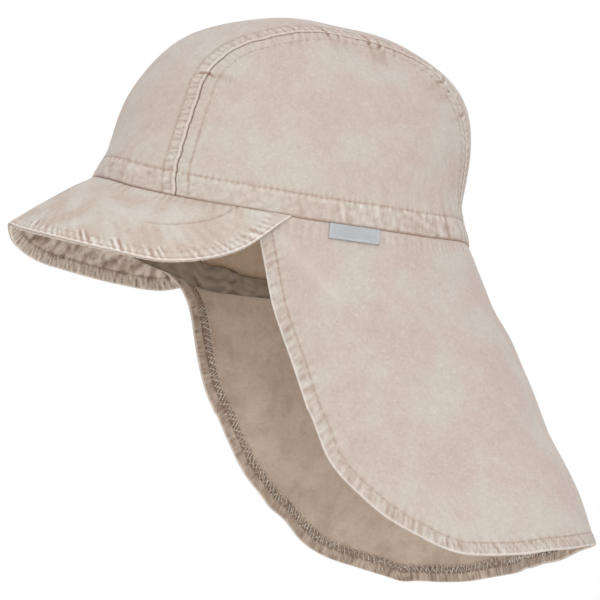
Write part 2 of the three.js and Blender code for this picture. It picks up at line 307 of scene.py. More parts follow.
def makeSheet(name, outer, inner, tints, side, materials, ring=False):
    # a closed wall between two grids of points. tints: named values, outside and inside.
    columns, rows = outer.shape[:2]
    number = np.arange(columns * rows).reshape(columns, rows)
    behind = number + columns * rows
    last = columns if ring else columns - 1
    here, there = np.arange(last), (np.arange(last) + 1) % columns

    def quads(a, b, c, d):
        corners = [a, b, c, d] if side > 0 else [a, d, c, b]
        return np.stack([corner.reshape(-1) for corner in corners], 1)

    front = quads(number[here, :-1], number[there, :-1], number[there, 1:], number[here, 1:])
    back = quads(behind[here, :-1], behind[here, 1:], behind[there, 1:], behind[there, :-1])
    rims = [quads(behind[here, 0], behind[there, 0], number[there, 0], number[here, 0]),
            quads(number[here, -1], number[there, -1], behind[there, -1], behind[here, -1])]
    if not ring:
        rims += [quads(number[0, :-1], number[0, 1:], behind[0, 1:], behind[0, :-1]),
                 quads(behind[-1, :-1], behind[-1, 1:], number[-1, 1:], number[-1, :-1])]
    faces = np.concatenate([front, back, *rims])
    points = np.concatenate([outer.reshape(-1, 3), inner.reshape(-1, 3)]) * mm
    mesh = bpy.data.meshes.new(name)
    mesh.from_pydata(points.tolist(), [], faces.tolist())
    kinds = np.zeros(len(faces), np.int32)
    kinds[len(front):len(front) + len(back)] = 1
    mesh.polygons.foreach_set("material_index", kinds)
    lengthwise, crosswise = arcOf(outer, 0).reshape(-1) * mm, arcOf(outer, 1).reshape(-1) * mm
    flat = np.tile(np.stack([lengthwise, crosswise], 1), (2, 1))
    mesh.uv_layers.new(name="cloth").data.foreach_set("uv", flat[faces.reshape(-1)].reshape(-1))
    for tint, values in tints.items():
        layer = mesh.attributes.new(tint, "FLOAT", "POINT")
        layer.data.foreach_set("value", np.concatenate([v.reshape(-1) for v in values]))
    piece = finishMesh(mesh, name, materials)
    print(name, "triangles", 2 * len(mesh.polygons))
    return piece


# Materials. The fuzz of the fibres and the height of the bumps are the same on all of them.
fuzzSize = 0.8
bumpHeight = 0.25
clothSurface = {"Roughness": 0.92, "IOR": 1.5, "Specular IOR Level": 0.25, "Sheen Weight": 0.1,
                "Sheen Roughness": 0.5}


def srgb(code):
    # an sRGB hex value as a linear colour
    values = [int(code[i:i + 2], 16) / 255 for i in (0, 2, 4)]
    return [v / 12.92 if v <= 0.04045 else ((v + 0.055) / 1.055) ** 2.4 for v in values] + [1]


def addNode(tree, kind, inputs=None, **settings):
    # adds a node, sets it up, and links or fills its inputs
    node = tree.nodes.new(kind)
    for setting, value in settings.items():
        setattr(node, setting, value)
    for socket, value in (inputs or {}).items():
        if isinstance(value, bpy.types.NodeSocket):
            tree.links.new(value, node.inputs[socket])
        else:
            node.inputs[socket].default_value = value
    return node


def reckon(tree, operation, *values):
    # a sum on numbers in a node tree
    return addNode(tree, "ShaderNodeMath", dict(enumerate(values)), operation=operation).outputs[0]


def makeClothMaterial(name, spec):
    material = bpy.data.materials.new(name)
    material.use_nodes = True
    tree = material.node_tree
    tree.nodes.clear()
    where = addNode(tree, "ShaderNodeTexCoord").outputs["Object"]
    flat = addNode(tree, "ShaderNodeUVMap", uv_map="cloth").outputs["UV"]

    def spread(value, low, high):
        node = addNode(tree, "ShaderNodeMapRange", {"Value": value, "From Min": low, "From Max": high})
        return node.outputs["Result"]

    def blotches(size, low, high):
        noise = addNode(tree, "ShaderNodeTexNoise",
                        {"Vector": where, "Scale": 1 / (size * mm), "Detail": 4, "Roughness": 0.6})
        return spread(noise.outputs["Fac"], low, high)

    def share(value, most):
        return reckon(tree, "MULTIPLY", value, most)

    def blend(factor, low, high):
        # sockets 6 and 7 of a colour mix are its two colours, output 2 its result
        node = addNode(tree, "ShaderNodeMix", {0: factor, 6: low, 7: high}, data_type="RGBA")
        return node.outputs[2]

    def slubs(scaleU, scaleV):
        # uneven threads that run one way
        stretched = addNode(tree, "ShaderNodeVectorMath", {0: flat, 1: (scaleU, scaleV, 0)},
                            operation="MULTIPLY").outputs["Vector"]
        noise = addNode(tree, "ShaderNodeTexNoise",
                        {"Vector": stretched, "Scale": 1, "Detail": 2, "Roughness": 0.6})
        return noise.outputs["Fac"]

    def tint(attribute):
        return addNode(tree, "ShaderNodeAttribute", attribute_name=attribute).outputs["Fac"]

    across, along = 1 / (spec["thread"] * mm), 1 / (spec["slub"] * mm)
    weave = reckon(tree, "ADD", slubs(across, along), slubs(along, across))
    base = blend(blotches(spec["fading"], 0.4, 0.6), srgb(spec["colour"]), srgb(spec["faded"]))
    base = blend(share(blotches(spec["mottle"], 0.47, 0.7), spec["mottling"]), base, srgb(spec["mottleAndShade"]))
    base = blend(share(spread(weave, 0.95, 1.3), spec["weave"]), base, srgb(spec["mottleAndShade"]))
    base = blend(share(blotches(spec["grain"], 0.5, 0.72), spec["speck"]), base, srgb(spec["mottleAndShade"]))
    base = blend(share(blotches(spec["grain"] * 1.3, 0.5, 0.3), spec["speck"]), base, srgb(spec["bare"]))
    # painted shade: creases and grooves turn brown
    base = blend(share(tint("crease"), spec["paintedShade"]), base, srgb(spec["mottleAndShade"]))
    # painted highlight on ridges, and real wear, pale along the edges
    base = blend(share(tint("wornAndHighlit"), spec["wearAndHighlight"]), base, srgb(spec["bare"]))
    fuzz = addNode(tree, "ShaderNodeTexNoise", {"Vector": where, "Scale": 1 / (fuzzSize * mm), "Detail": 3})
    relief = reckon(tree, "ADD", weave, fuzz.outputs["Fac"])
    bump = addNode(tree, "ShaderNodeBump",
                   {"Height": relief, "Strength": spec["bump"], "Distance": bumpHeight * mm})
    shader = addNode(tree, "ShaderNodeBsdfPrincipled",
                     {"Base Color": base, "Normal": bump.outputs["Normal"], **clothSurface})
    addNode(tree, "ShaderNodeOutputMaterial", {"Surface": shader.outputs["BSDF"]})
    return material


# What the woven cloths share. Their threads are drawn 1.2 mm apart, coarser than in the real
# cloth, so that they show.
wovenCloth = {"weave": 0.035, "thread": 1.2, "slub": 6, "grain": 1.3, "speck": 0.13}
# Sewing thread has no weave, no painted shade and no painted highlights, and no worn edges of its own.
sewingThread = {"weave": 0, "thread": 1.2, "slub": 6, "grain": 1.0, "speck": 0.1,
                "fading": 6, "mottle": 2, "paintedShade": 0, "wearAndHighlight": 0, "bump": 0.2}

# Garment-dyed cotton, plain woven and washed: dull and faded in patches, painted brown in its folds as
# shade, with pale painted highlights on its ridges, and bare along its edges where it is worn.
washedCotton = makeClothMaterial("washed_cotton", {
    **wovenCloth, "colour": "B7A8A1", "faded": "BAB2AA", "mottleAndShade": "85644F", "bare": "E8E2DC",
    "fading": 26, "mottle": 5, "mottling": 0.08, "paintedShade": 0.7, "wearAndHighlight": 0.5, "bump": 0.35,
})
# The same cloth's raw side, never faded by the sun and spotted by wear; its browner tone is partly painted
# shade, the brown of light bounced inside the flap.
rawCotton = makeClothMaterial("raw_cotton", {
    **wovenCloth, "colour": "C5B3A5", "faded": "CFBFB0", "mottleAndShade": "72594A", "bare": "EAE0D6",
    "fading": 26, "mottle": 9, "mottling": 0.24, "paintedShade": 0.8, "wearAndHighlight": 0.6, "bump": 0.35,
})
# The crown's lining side in the shade: olive brown.
shadedCotton = makeClothMaterial("shaded_cotton", {
    **wovenCloth, "colour": "D2BFAA", "faded": "D6C4AF", "mottleAndShade": "5E4B3B", "bare": "D4C6B6",
    "fading": 26, "mottle": 6, "mottling": 0.1, "paintedShade": 0.7, "wearAndHighlight": 0.4, "bump": 0.3,
})
# The peak's upper cloth, handled most: faded pinkish and beige in soft patches.
wornCotton = makeClothMaterial("worn_cotton", {
    **wovenCloth, "colour": "B5A69C", "faded": "C1BBB4", "mottleAndShade": "85634E", "bare": "E8E2DC",
    "fading": 12, "mottle": 6, "mottling": 0.16, "paintedShade": 0.65, "wearAndHighlight": 0.7, "bump": 0.35,
})
# The peak's lower cloth: spotted grey-brown by hands.
gripCotton = makeClothMaterial("grip_cotton", {
    **wovenCloth, "colour": "CBBAAE", "faded": "D6C8BC", "mottleAndShade": "6E5544", "bare": "F0E7DE",
    "fading": 9, "mottle": 2.6, "mottling": 0.55, "paintedShade": 0.75, "wearAndHighlight": 0.8, "bump": 0.4,
})
# Cotton tape, soft and crumpled inside the rim: grey-brown and dull.
cottonTape = makeClothMaterial("cotton_tape", {
    **wovenCloth, "colour": "9D9083", "faded": "A4998D", "mottleAndShade": "4A3B31", "bare": "B3A99D",
    "fading": 12, "mottle": 4, "mottling": 0.12, "paintedShade": 0.6, "wearAndHighlight": 0.4, "bump": 0.3,
})
# Polyester satin tab, woven fine: smooth cool grey with a paler edge.
wovenTab = makeClothMaterial("woven_tab", {
    **wovenCloth, "colour": "A2A5A8", "faded": "A8ABAE", "mottleAndShade": "83868E", "bare": "CFD2D5",
    "fading": 8, "mottle": 3, "mottling": 0.06, "paintedShade": 0.5, "wearAndHighlight": 0.6, "bump": 0.2,
})
# Spun cotton sewing thread: matt, a little browner than the cloth it pulls in.
threadCotton = makeClothMaterial("sewing_thread", {
    **sewingThread, "colour": "A8917F", "faded": "BCA797", "mottleAndShade": "80604E", "bare": "C6B3A5",
    "mottling": 0.3,
})
# The overlock's looser, paler thread.
overlockCotton = makeClothMaterial("overlock_thread", {
    **sewingThread, "colour": "F0E6DA", "faded": "F8F1E8", "mottleAndShade": "A88E7C", "bare": "F0E9E0",
    "mottling": 0.25,
})
print("materials made")

# Sewing. Paths lie on the cloth, with the cloth's outward direction on them. Each stitch strays
# from its line by up to this angle, in radians.
stitchWander = 0.09


def startSewing(name, sizes):
    # a node tree with evenly spaced points along each path
    tree = bpy.data.node_groups.new(name, "GeometryNodeTree")
    face = tree.interface
    face.new_socket("Geometry", in_out="INPUT", socket_type="NodeSocketGeometry")
    for size in sizes:
        face.new_socket(size, in_out="INPUT", socket_type="NodeSocketFloat")
    face.new_socket("Thread", in_out="INPUT", socket_type="NodeSocketMaterial")
    face.new_socket("Geometry", in_out="OUTPUT", socket_type="NodeSocketGeometry")
    given = addNode(tree, "NodeGroupInput").outputs
    curve = addNode(tree, "GeometryNodeMeshToCurve", {"Mesh": given["Geometry"]}).outputs["Curve"]
    spaced = addNode(tree, "GeometryNodeResampleCurve",
                     {"Curve": curve, "Length": given["Pitch"]}, mode="LENGTH").outputs["Curve"]
    outward = addNode(tree, "GeometryNodeInputNamedAttribute", {"Name": "outward"},
                      data_type="FLOAT_VECTOR").outputs["Attribute"]
    tangent = addNode(tree, "GeometryNodeInputTangent").outputs["Tangent"]
    return tree, given, spaced, outward, tangent


def endSewing(tree, given, thread):
    real = addNode(tree, "GeometryNodeRealizeInstances", {"Geometry": thread}).outputs["Geometry"]
    threaded = addNode(tree, "GeometryNodeSetMaterial", {"Geometry": real, "Material": given["Thread"]})
    addNode(tree, "NodeGroupOutput", {"Geometry": threaded.outputs["Geometry"]})
    return tree


def makeStitchTree():
    # thread laid as a row of short stitches along each path
    tree, given, spaced, outward, tangent = startSewing(
        "row of stitches", ["Pitch", "Length", "Width", "Height", "Slant"])
    along = addNode(tree, "FunctionNodeAlignRotationToVector", {"Vector": tangent}, axis="X")
    upright = addNode(tree, "FunctionNodeAlignRotationToVector",
                      {"Rotation": along.outputs["Rotation"], "Vector": outward}, axis="Z", pivot_axis="X")
    wander = addNode(tree, "FunctionNodeRandomValue",
                     {"Min": -stitchWander, "Max": stitchWander, "Seed": 7})
    angle = reckon(tree, "ADD", wander.outputs[1], given["Slant"])
    skew = addNode(tree, "FunctionNodeAxisAngleToRotation",
                   {"Axis": (0, 0, 1), "Angle": angle}).outputs["Rotation"]
    turned = addNode(tree, "FunctionNodeRotateRotation",
                     {"Rotation": upright.outputs["Rotation"], "Rotate By": skew}, rotation_space="LOCAL")
    size = addNode(tree, "ShaderNodeCombineXYZ",
                   {"X": given["Length"], "Y": given["Width"], "Z": given["Height"]}).outputs["Vector"]
    bead = addNode(tree, "GeometryNodeMeshUVSphere", {"Segments": 6, "Rings": 4, "Radius": 0.5})
    laid = addNode(tree, "GeometryNodeInstanceOnPoints",
                   {"Points": spaced, "Instance": bead.outputs["Mesh"],
                    "Rotation": turned.outputs["Rotation"], "Scale": size}).outputs["Instances"]
    return endSewing(tree, given, laid)


def makeOverlockTree():
    # one thread thrown from side to side over a raw edge
    tree, given, spaced, outward, tangent = startSewing(
        "overlock", ["Pitch", "Half width", "Thickness", "Scatter"])
    aside = addNode(tree, "ShaderNodeVectorMath", {0: tangent, 1: outward}, operation="CROSS_PRODUCT")
    index = addNode(tree, "GeometryNodeInputIndex").outputs["Index"]
    swing = reckon(tree, "MULTIPLY_ADD", reckon(tree, "MODULO", index, 2.0), 2.0, -1.0)
    reach = reckon(tree, "MULTIPLY", swing, given["Half width"])
    thrown = addNode(tree, "ShaderNodeVectorMath",
                     {0: aside.outputs["Vector"], "Scale": reach}, operation="SCALE").outputs["Vector"]
    uneven = addNode(tree, "FunctionNodeRandomValue", {"Min": (-1, -1, -1), "Max": (1, 1, 1), "Seed": 5},
                     data_type="FLOAT_VECTOR").outputs["Value"]
    scattered = addNode(tree, "ShaderNodeVectorMath",
                        {0: uneven, "Scale": given["Scatter"]}, operation="SCALE").outputs["Vector"]
    offset = addNode(tree, "ShaderNodeVectorMath", {0: thrown, 1: scattered}, operation="ADD")
    zigzag = addNode(tree, "GeometryNodeSetPosition",
                     {"Geometry": spaced, "Offset": offset.outputs["Vector"]})
    section = addNode(tree, "GeometryNodeCurvePrimitiveCircle",
                      {"Resolution": 4, "Radius": given["Thickness"]}).outputs["Curve"]
    thread = addNode(tree, "GeometryNodeCurveToMesh",
                     {"Curve": zigzag.outputs["Geometry"], "Profile Curve": section, "Fill Caps": True})
    return endSewing(tree, given, thread.outputs["Mesh"])


def sewPaths(name, paths, tree, sizes):
    # paths: pairs of points and outward directions, in millimetres
    mesh = bpy.data.meshes.new(name)
    points = np.concatenate([path for path, _ in paths]) * mm
    outward = np.concatenate([normal for _, normal in paths])
    starts = np.cumsum([0] + [len(path) for path, _ in paths])
    edges = [(i, i + 1) for a, b in zip(starts, starts[1:]) for i in range(a, b - 1)]
    mesh.from_pydata(points.tolist(), edges, [])
    mesh.attributes.new("outward", "FLOAT_VECTOR", "POINT").data.foreach_set("vector", outward.reshape(-1))
    guide = place(name + "_guide", mesh)
    modifier = guide.modifiers.new("sewing", "NODES")
    modifier.node_group = tree
    for item in tree.interface.items_tree:
        if item.item_type == "SOCKET" and item.in_out == "INPUT" and item.name in sizes:
            modifier[item.identifier] = sizes[item.name]
    evaluated = guide.evaluated_get(bpy.context.evaluated_depsgraph_get())
    sewn = bpy.data.meshes.new_from_object(evaluated)
    guide.modifiers.clear()
    bpy.data.objects.remove(guide)
    sewn.name = name
    for polygon in sewn.polygons:
        polygon.use_smooth = True
    piece = place(name, sewn)
    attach(piece, "root")
    print(name, "triangles", sum(len(p.vertices) - 2 for p in sewn.polygons))
    return piece


stitchTree = makeStitchTree()
overlockTree = makeOverlockTree()
topStitch = {"Pitch": 2.9 * mm, "Length": 2.1 * mm, "Width": 0.36 * mm, "Height": 0.28 * mm,
             "Slant": 0.0, "Thread": threadCotton}


def lineAt(points, normals, away, level):
    # the line across a grid's columns that runs this far from the edge at their last row
    found = []
    for column, normal, distance in zip(points, normals, away):
        below = np.nonzero(distance > level)[0]
        if len(below) == 0 or below[-1] == len(distance) - 1:
            continue
        k = below[-1]
        t = (distance[k] - level) / (distance[k] - distance[k + 1])
        found.append((mix(column[k], column[k + 1], t), unit(mix(normal[k], normal[k + 1], t))))
    return np.array([f[0] for f in found]), np.array([f[1] for f in found])


def band(x, low, high, soft):
    # 1 between low and high, fading out over a soft margin
    return smoothStep(x, low - soft, low) * smoothStep(high + soft - x, 0, soft)


# A groove this deep gets the full brown of painted shade. Ridges get a pale painted highlight with their
# height, up to a limit.
marks = {"grooveDepth": 0.45, "ridgeHeight": 0.5, "ridgeMost": 0.8}


def tintsOf(outerRelief, innerRelief, outerEdge=0.0, innerEdge=0.0):
    # painted shade browns the grooves; ridges get a pale painted highlight, and edges wear pale
    def grooveShade(relief):
        return np.clip(-relief / marks["grooveDepth"], 0, 1)

    def ridgeHighlightAndWear(relief, edge):
        return np.clip(np.clip(relief / marks["ridgeHeight"], 0, marks["ridgeMost"]) + edge, 0, 1)

    return {"crease": (grooveShade(outerRelief), grooveShade(innerRelief)),
            "wornAndHighlit": (ridgeHighlightAndWear(outerRelief, outerEdge), ridgeHighlightAndWear(innerRelief, innerEdge))}


# The crown. Seams are rolled in, pressed flat behind and topstitched.
crown = {
    "cloth": 1.2, "clearance": 0.02, "columnPitch": 0.68, "sideColumnPitch": 0.6,
    "seamRoll": 0.5, "seamRollWidth": 0.22, "ruffle": 3.1,
    "centreStitch": 6.6, "sideStitch": 6.0, "bandStitch": 11.5,
    "stitchSink": 0.19, "stitchSinkWidth": 0.65, "softness": 0.5, "softLength": 46, "liningShare": 0.3,
}
seamRows = [0, 0.2, 0.45, 0.8, 1.2, 1.8, 2.5, 3.2, 3.9, 4.6, 5.3, 6.0, 6.6, 7.3, 8.3, 9.8]
rimRows = [0, 0.3, 0.8, 1.6, 2.6, 3.8, 5.1, 6.4, 7.7, 8.9, 9.9, 10.6, 11.1, 11.5, 12.0, 12.8, 13.8, 15.2]

# Tucks that cross the seam on its way over the head: where, how deep and how wide.
seamTucks = {
    1: [(49, 0.9, 1.1), (87, 0.8, 1.4), (90, 0.5, 1.0), (99, 0.9, 1.3), (102, 0.8, 1.1), (106, 0.4, 1.0),
        (121, 0.7, 1.3), (124, 0.5, 1.0), (131, 0.6, 1.2)],
    -1: [(40, 0.6, 1.2), (77, 0.7, 1.2), (112, 0.8, 1.3), (128, 0.6, 1.1)],
}


def seamPath(side):
    fronts, rears = stripEnds(np.array([1.0]), 0)
    over = np.linspace(fronts[0], rears[0], samples["seam"])
    return np.degrees(over), overPoint(over, seamAcross(over)) * (side, 1, 1)


def seamDistance(plain, side):
    # how far a panel's points are from one seam, how far along it, and the turn over the head
    over, path = seamPath(side)
    away, along = nearest(plain, path)
    return np.maximum(away - crown["clearance"], 0), along, np.interp(along, arcOf(path, 0), over)


def seamRelief(distance, side, centrePart, seed):
    away, along, turn = distance
    over, path = seamPath(side)
    stitch = crown["centreStitch"] if centrePart else crown["sideStitch"]
    relief = -crown["seamRoll"] * dip(away, 0, crown["seamRollWidth"])
    sink = crown["stitchSink"] * (1 if centrePart else 1 - 0.65 * smoothStep(turn, 38, 60))
    relief -= sink * dip(away, stitch, crown["stitchSinkWidth"])
    ruffle = gathers(along + 0.15 * away, crown["ruffle"], seed)
    fineRuffle = gathers(along - 0.3 * away, 1.9, seed + 5)
    if centrePart:
        relief += 0.3 * dip(away, 0.9, 0.6) - 0.12 * dip(away, 2.2, 0.5)
        relief += (0.19 * ruffle + 0.09 * fineRuffle) * band(away, 2.2, stitch - 1.2, 1.1)
    else:
        relief -= 0.3 * dip(away, 0.1, 0.5) * (0.7 + 0.3 * fineRuffle)
        relief += 0.05 * ruffle * band(away, 0.8, stitch, 1.6)
        relief += 0.1 * gathers(along, 2.7, seed + 2) * dip(away, stitch, 0.8)
    loose = smoothStep(turn, 58, 76)
    relief += 0.11 * loose * gathers(along + 0.4 * away, 4.4, seed + 3) * band(away, 0.5, 7, 3)
    for place, depth, width in seamTucks[side]:
        where = np.interp(place, over, arcOf(path, 0))
        fade = smoothStep((8 if centrePart else 6) - away, 0, 6)
        relief -= 0.85 * depth * dip(along + 0.25 * away, where, 0.5 * width) * fade
        relief += 0.4 * depth * dip(along + 0.25 * away, where + 1.3 * width, 0.6 * width) * fade
        if not centrePart:
            # a soft shadow runs on down the panel
            relief -= 0.22 * depth * dip(along, where, 1.8) * band(away, 6, 12, 10)
    return relief


def bandRelief(plain, side):
    # the self band round the rim: stitched along its top and gathered, least over the temples
    away, along = nearest(plain, rimPath())
    turn = turnOf(angleOf(plain * (side, 1, 1)))
    gathered = 0.08 + 0.5 * smoothStep(turn, -4, 6) + 0.5 * smoothStep(-turn, 40, 60)
    stitch = crown["bandStitch"]
    relief = -crown["stitchSink"] * dip(away, stitch, crown["stitchSinkWidth"])
    relief += 0.18 * dip(away, stitch - 1.8, 0.9) * (0.5 + 0.5 * gathers(along, 5.5, 33))
    pleats = gathers(along + 0.25 * away, 4.1, 31) + 0.5 * gathers(along - 0.3 * away, 6.9, 37)
    pleats = 0.7 * pleats * (1 + 0.5 * folds(plain, 13, 38)) + 0.8 * folds(plain, 4.5, 39, 24)
    relief += gathered * 0.2 * pleats * band(away, 1.5, stitch - 1.2, 1.4)
    relief += 0.07 * folds(plain, 3.6, 40, 24) * band(away, 1, stitch - 0.8, 1)
    relief += gathered * 0.1 * gathers(along - 0.2 * away, 2.3, 34) * band(away, 0.8, stitch, 2)
    relief += 0.1 * gathers(along, 2.9, 35) * band(away, stitch - 1.4, stitch + 1.4, 1)
    relief += gathered * 0.08 * gathers(along, 7.9, 36) * band(away, 6, 18, 9)
    return relief - 0.65 * dip(away, 0, 0.7)


def rimPath():
    return rimPoint(np.linspace(-math.pi, math.pi, samples["rim"]))


def makePanel(name, plain, normals, fine, rimAway, side):
    # a panel's sheet, where the lining side shows only a share of the fine relief
    soft = crown["softness"] * folds(plain, crown["softLength"], 41) * smoothStep(rimAway, 2, 20)
    lining = crown["liningShare"] * fine
    outer = plain + normals * (fine + soft)[..., None]
    inner = plain + normals * (soft - crown["cloth"] + lining)[..., None]
    # grooves of the relief get painted shade and its ridges a painted highlight
    piece = makeSheet(name, outer, inner, tintsOf(fine, -lining), side, [washedCotton, shadedCotton])
    return piece, outer


def makeCentrePanel():
    table = np.linspace(-1, 1, samples["strips"])
    fronts, rears = stripEnds(table, -crown["clearance"])

    def face(u, v):
        share = mix(-1, 1, v)
        over = mix(np.interp(share, table, fronts), np.interp(share, table, rears), u)
        return overPoint(over, share * (seamAcross(over) - crown["clearance"]))

    us = evenly(lambda u: face(u, 0.5), crown["columnPitch"])
    vs = layRows(lambda v: face(us, v), seamRows, seamRows, 58)
    plain = face(us[:, None], vs)
    normals = gridNormals(plain, -1)
    rimAway, _ = nearest(plain, rimPath())
    leftSeam, rightSeam = seamDistance(plain, 1), seamDistance(plain, -1)
    fine = seamRelief(leftSeam, 1, True, 11) + seamRelief(rightSeam, -1, True, 21)
    fine = fine + bandRelief(plain, 1)
    piece, outer = makePanel("crown_centre", plain, normals, fine, rimAway, -1)
    stitch, ends = crown["centreStitch"], slice(20, -20)
    lines = [lineAt(outer[ends], normals[ends], leftSeam[0][ends], stitch),
             lineAt(outer[ends, ::-1], normals[ends, ::-1], rightSeam[0][ends, ::-1], stitch)]
    for run in (slice(None, None, -1), slice(None)):
        grids = outer[run].transpose(1, 0, 2), normals[run].transpose(1, 0, 2), rimAway[run].T
        lines.append(lineAt(*grids, crown["bandStitch"]))
    return piece, lines


def makeSidePanel(name, wearerSide, seed):
    fronts, rears = stripEnds(np.array([1.0]), crown["clearance"])
    feet = fronts[0], rears[0]

    def seamPoint(over):
        return overPoint(over, seamAcross(over) + crown["clearance"])

    footAngles = [float(angleOf(seamPoint(foot))) for foot in feet]
    turned = np.array([wearerSide, 1, 1])

    def face(u, v):
        rimAngle = mix(footAngles[0], footAngles[1], u)
        seam = seamPoint(mix(feet[0], feet[1], u))
        angle = mix(rimAngle, angleOf(seam), v)
        return wallPoint(angle, mix(rimHeight(rimAngle), seam[..., 2], v)) * turned

    us = evenly(lambda u: face(u, 1.0), crown["sideColumnPitch"])
    vs = layRows(lambda v: face(us, v), rimRows, seamRows, 22)
    plain = face(us[:, None], vs)
    angles = angleOf(plain * turned)
    step = 0.01
    level = wallPoint(angles + step, plain[..., 2]) - wallPoint(angles - step, plain[..., 2])
    steep = wallPoint(angles, plain[..., 2] + step) - wallPoint(angles, plain[..., 2] - step)
    normals = unit(np.cross(level, steep)) * turned
    rimAway, _ = nearest(plain, rimPath())
    seam = seamDistance(plain, wearerSide)
    fine = seamRelief(seam, wearerSide, False, seed) + bandRelief(plain, wearerSide)
    piece, outer = makePanel(name, plain, normals, fine, rimAway, wearerSide)
    aboveBand = np.where(rimAway > crown["bandStitch"], seam[0], 0)
    lines = [lineAt(outer, normals, aboveBand, crown["sideStitch"]),
             lineAt(outer[:, ::-1], normals[:, ::-1], rimAway[:, ::-1], crown["bandStitch"])]
    return piece, lines


centre, centreLines = makeCentrePanel()
left, leftLines = makeSidePanel("crown_left", 1, 51)
right, rightLines = makeSidePanel("crown_right", -1, 61)
panelNodes = [(centre, "crown_centre_panel"), (left, "crown_left_panel"), (right, "crown_right_panel")]
for piece, node in panelNodes:
    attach(piece, "root")
    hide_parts(node)
sewPaths("crown_stitches", centreLines + leftLines + rightLines, stitchTree, topStitch)

# The tape inside the rim, crumpled along its length.
tape = {"inset": 1.9, "cloth": 1.0, "columnPitch": 0.8, "rows": 26}
tapeTable = {
    "turn": [-90, -35, -24, -17, -9, 0, 12, 45, 90],
    "below": [1.6, 1.6, 1.7, 2.8, 4.9, 4.6, 4.3, 3.2, 2],
    "above": [11.5, 11, 10, 9, 8.1, 6.3, 5, 6, 7],
}


def makeTape():
    def face(u, v):
        angle = mix(-math.pi, math.pi, u)
        low = -readTable(tapeTable, "turn", "below", turnOf(angle))
        high = readTable(tapeTable, "turn", "above", turnOf(angle))
        return wallPoint(angle, rimHeight(angle) + mix(low, high, v)) - rimOutward(angle) * tape["inset"]

    us = evenly(lambda u: face(u, 0.5), tape["columnPitch"])[:-1][:, None]
    vs = np.linspace(0, 1, tape["rows"] + 1)[None, :]
    plain = face(us, vs + 0 * us)
    normals = rimOutward(mix(-math.pi, math.pi, us)) + 0 * plain
    along, high = arcOf(plain, 0), arcOf(plain, 1)
    drift = 1.6 * np.sin(along / 6.1) + 1.1 * np.sin(along / 2.9 + 2) + 0.6 * np.sin(along / 1.3)
    strength = 0.55 + 0.45 * np.sin(along / 11 + 1)
    fine = 0.16 * np.cos(2 * math.pi * (high + drift) / 5.2) * strength
    fine = fine + 0.08 * gathers(along + high, 5.7, 71)
    fine = fine + 0.1 * folds(plain, 7, 72)
    top = high[:, -1:] + 0 * high
    edge = 0.5 * smoothStep(1 - high, 0, 0.8) + 0.25 * smoothStep(high - top + 0.9, 0, 0.7)
    lift = 0.8 * np.sin(along / 7 + 0.5) + 0.5 * np.sin(along / 3.1)
    lift = lift * smoothStep(high, 0.6 * top, top)
    outer = plain + normals * np.minimum(0.3 * fine, 0.1)[..., None]
    inner = plain + normals * (-np.maximum(fine, -0.3) - tape["cloth"])[..., None]
    for layer in (outer, inner):
        layer[..., 2] += lift
    # its crumples get painted shade in their grooves and a painted highlight on their ridges, and its inner
    # side is browner towards its edges
    piece = makeSheet("rim_tape", outer, inner, tintsOf(fine, 1.3 * fine - 0.6 * edge), 1,
                      [cottonTape, cottonTape], ring=True)
    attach(piece, "root")
    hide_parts("sweatband")


makeTape()

# The soft peak: two layers that share their puckers, seamed at the edge.
peak = {
    "cloth": 1.0, "gap": 0.3, "rootGap": -0.2, "endTurn": -9.7, "crowning": 1.4, "columnPitch": 0.6,
    "edgeStitch": 4.6, "arcStitch": 18.7, "underStitch": 6.3, "upperTuck": 1.9, "lowerTuck": 1.5,
    # shares of the way from the middle to an end: where the root steps outwards to make room for
    # the flap, and where it comes to lie over it
    "stepOut": (0.35, 0.79), "overFlap": (0.72, 0.82),
}
peakLayers = 2 * (peak["cloth"] + peak["gap"])
peakLeft = [(0, 130, -32.5), (20, 127.3, -38.4), (40, 115.2, -44.5), (54, 94.2, -49), (65, 67, -51.4),
            (72, 38.7, -42.2), (73, 15.5, -20.6)]
peakRight = [(0, 130, -32.5), (19, 123, -35.6), (37, 108.6, -36.5), (52, 88.4, -34.7), (64, 63.3, -32.9),
             (71.5, 37.4, -29.8), (73, 15.5, -20.6)]
peakEdgeRows = [0, 0.18, 0.42, 0.8, 1.4, 2.2, 3.1, 4.0, 4.9, 5.7, 6.3, 6.9, 7.7, 8.6, 9.6, 10.6, 11.8]


def peakEdge(u):
    # a smooth curve through the edge's points, from the right end to the left
    points = np.array([(-x, -y, z) for x, y, z in peakRight[:0:-1]] + [(x, -y, z) for x, y, z in peakLeft])
    points = np.concatenate([[2 * points[0] - points[1]], points, [2 * points[-1] - points[-2]]])
    way = np.asarray(u, float) * (len(points) - 3)
    i = np.clip(np.floor(way).astype(int), 0, len(points) - 4)
    t = (way - i)[..., None]
    a, b, c, d = points[i], points[i + 1], points[i + 2], points[i + 3]
    return 0.5 * (2 * b + (c - a) * t + (2 * a - 5 * b + 4 * c - d) * t**2 + (3 * b - a - 3 * c + d) * t**3)


def peakFace(u, v):
    aside = mix(-1, 1, np.asarray(u, float))
    angle = mix(-math.pi / 2, math.radians(peak["endTurn"]), np.abs(aside))
    stacked = smoothStep(np.abs(aside), *peak["stepOut"])
    root = rimPoint(angle) + rimOutward(angle) * (stacked * peakLayers)[..., None]
    side = np.where(aside < 0, -1.0, 1.0)
    root = np.stack([root[..., 0] * side, root[..., 1], root[..., 2] - peak["rootGap"]], -1)
    point = mix(root, peakEdge(u), np.asarray(v)[..., None])
    point[..., 2] += peak["crowning"] * np.sin(math.pi * np.asarray(v)) * (1 - stacked)
    return point


